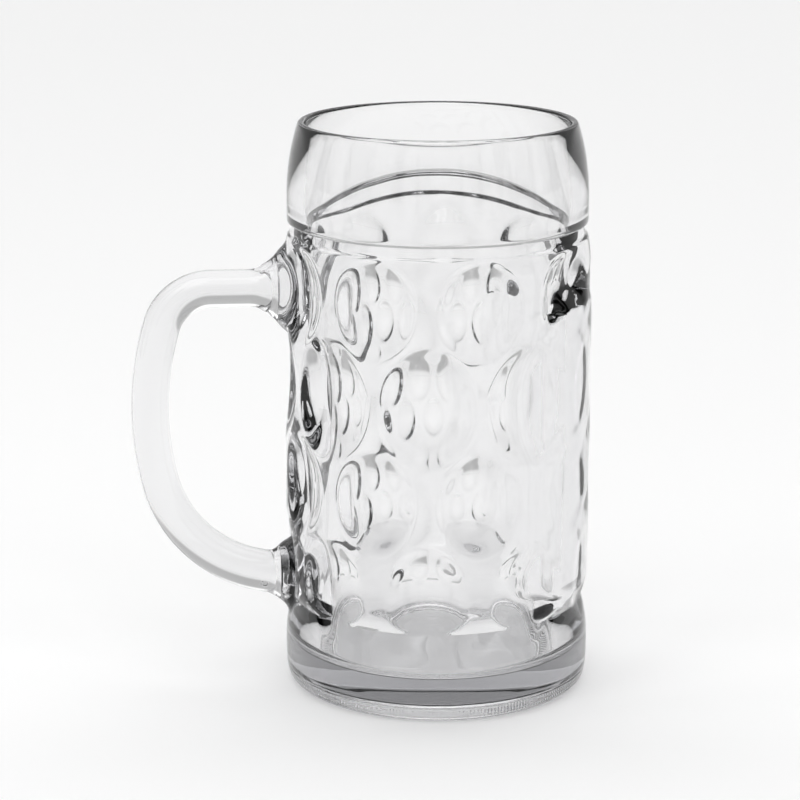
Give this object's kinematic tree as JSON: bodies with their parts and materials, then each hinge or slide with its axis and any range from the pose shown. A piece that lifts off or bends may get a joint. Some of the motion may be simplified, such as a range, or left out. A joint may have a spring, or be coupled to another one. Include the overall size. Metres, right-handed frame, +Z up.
{
  "type": "dimpled beer mug",
  "caption": "Tall glass beer mug with a dimpled body, a plain panel, a smooth drinking band above a neck groove, a thick foot and a welded bow handle.",
  "frame": {"origin": "centre of the standing ring, in the plane of the table", "axes": "+Z up along the vessel's axis; the handle points along -X and the plain panel faces +X; the mug is the same on both sides of the XZ plane"},
  "size_m": [0.1609, 0.1078, 0.2],
  "materials": {
    "glass": "clear, fire-polished soda-lime glass"
  },
  "bodies": {
    "root": {"vessel": "glass", "handle": "glass"}
  },
  "joints": []
}
